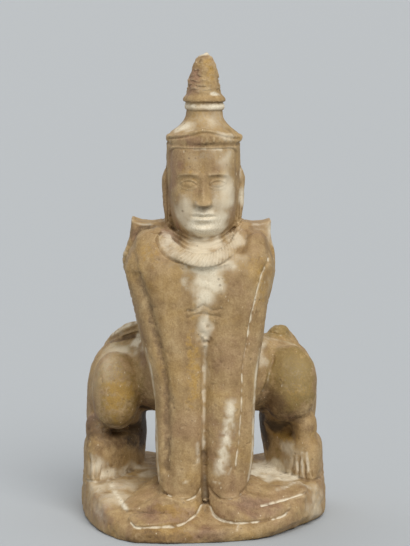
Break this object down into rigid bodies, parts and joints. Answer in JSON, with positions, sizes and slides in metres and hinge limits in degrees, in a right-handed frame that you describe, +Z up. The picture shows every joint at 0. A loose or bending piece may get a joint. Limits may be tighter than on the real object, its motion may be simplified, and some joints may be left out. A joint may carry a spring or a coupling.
{
  "type": "singha guardian statue",
  "caption": "Carved sandstone temple guardian with a crowned human head and chest on straight forelegs and a lion's hindquarters on each side, on a low plinth",
  "frame": {"origin": "middle of the flat underside of the plinth", "axes": "+Z is up, the figure looks along -Y, and +X is on the right of someone who looks at its face"},
  "size_m": [0.2864, 0.2446, 0.5394],
  "materials": {
    "sandstone": "worn, hand-carved ochre sandstone with remains of white lime wash"
  },
  "bodies": {
    "root": {"guardian_statue": "sandstone"}
  },
  "joints": []
}
